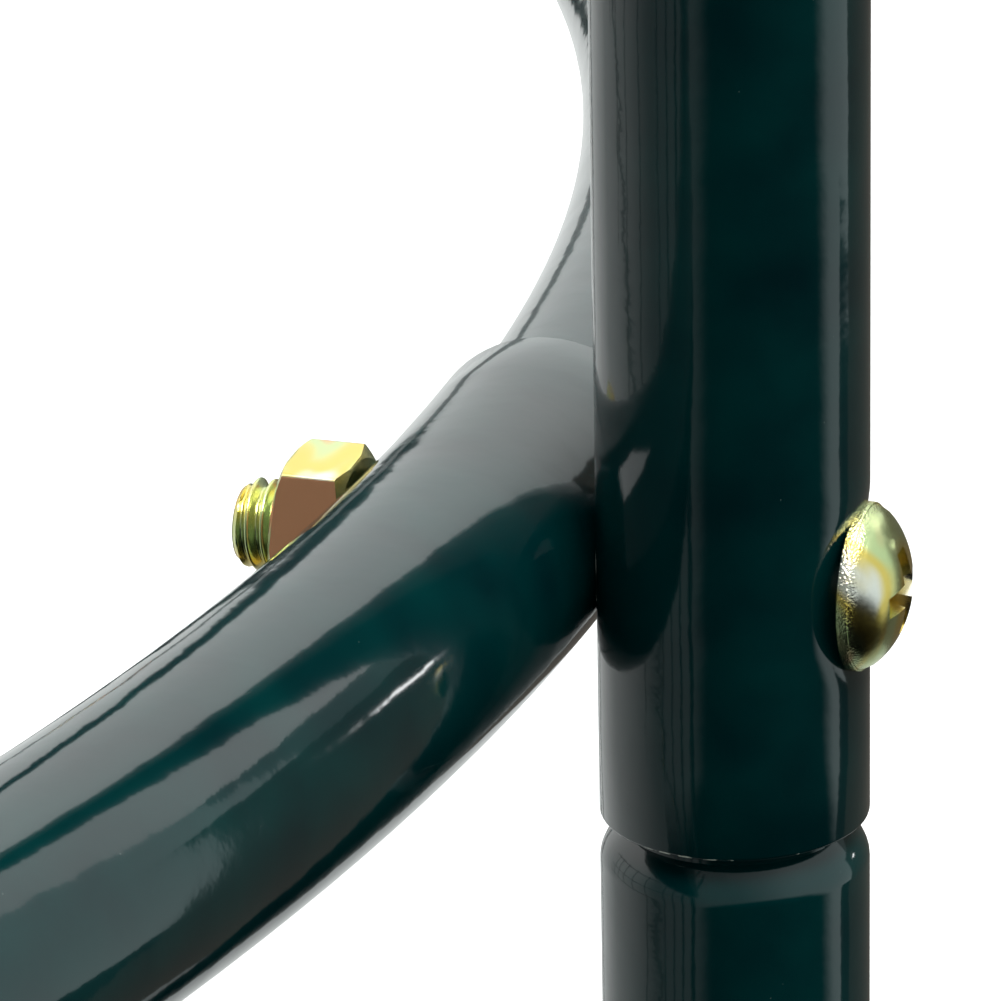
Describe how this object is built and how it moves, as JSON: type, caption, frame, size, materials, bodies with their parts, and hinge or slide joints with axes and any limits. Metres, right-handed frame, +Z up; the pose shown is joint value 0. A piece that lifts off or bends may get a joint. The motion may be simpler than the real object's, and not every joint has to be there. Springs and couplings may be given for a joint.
{
  "type": "trellis arch",
  "caption": "Walk-through garden arch of sectional steel tube: bent bows carry straight rails for climbing plants, joined by sleeved ends and screws.",
  "frame": {"origin": "on the ground, in the middle of the arch", "axes": "+Z up, +X across the arch to the right leg, +Y from front to rear, the way one walks through"},
  "size_m": [1.2554, 1.0252, 2.3614],
  "materials": {
    "green_enamel": "gloss dark green enamel",
    "zinc_plate": "yellow passivated zinc plate",
    "plug_plastic": "moulded, satin",
    "cap_rubber": "moulded, matt"
  },
  "bodies": {
    "root": {"foot_caps": "cap_rubber", "front_bow_nuts": "zinc_plate", "front_bow_screws": "zinc_plate", "front_crown": "green_enamel", "front_lower_leg_left": "green_enamel", "front_lower_leg_right": "green_enamel", "front_upper_leg_left": "green_enamel", "front_upper_leg_right": "green_enamel", "middle_bow_nuts": "zinc_plate", "middle_bow_screws": "zinc_plate", "middle_crown": "green_enamel", "middle_lower_leg_left": "green_enamel", "middle_lower_leg_right": "green_enamel", "middle_upper_leg_left": "green_enamel", "middle_upper_leg_right": "green_enamel", "rail_crown_left_front": "green_enamel", "rail_crown_left_rear": "green_enamel", "rail_crown_right_front": "green_enamel", "rail_crown_right_rear": "green_enamel", "rail_left_1_front": "green_enamel", "rail_left_1_rear": "green_enamel", "rail_left_2_front": "green_enamel", "rail_left_2_rear": "green_enamel", "rail_left_3_front": "green_enamel", "rail_left_3_rear": "green_enamel", "rail_left_4_front": "green_enamel", "rail_left_4_rear": "green_enamel", "rail_left_5_front": "green_enamel", "rail_left_5_rear": "green_enamel", "rail_plugs_front": "plug_plastic", "rail_plugs_rear": "plug_plastic", "rail_ridge_front": "green_enamel", "rail_ridge_rear": "green_enamel", "rail_right_1_front": "green_enamel", "rail_right_1_rear": "green_enamel", "rail_right_2_front": "green_enamel", "rail_right_2_rear": "green_enamel", "rail_right_3_front": "green_enamel", "rail_right_3_rear": "green_enamel", "rail_right_4_front": "green_enamel", "rail_right_4_rear": "green_enamel", "rail_right_5_front": "green_enamel", "rail_right_5_rear": "green_enamel", "rail_shoulder_left_front": "green_enamel", "rail_shoulder_left_rear": "green_enamel", "rail_shoulder_right_front": "green_enamel", "rail_shoulder_right_rear": "green_enamel", "rear_bow_nuts": "zinc_plate", "rear_bow_screws": "zinc_plate", "rear_crown": "green_enamel", "rear_lower_leg_left": "green_enamel", "rear_lower_leg_right": "green_enamel", "rear_upper_leg_left": "green_enamel", "rear_upper_leg_right": "green_enamel"}
  },
  "joints": []
}
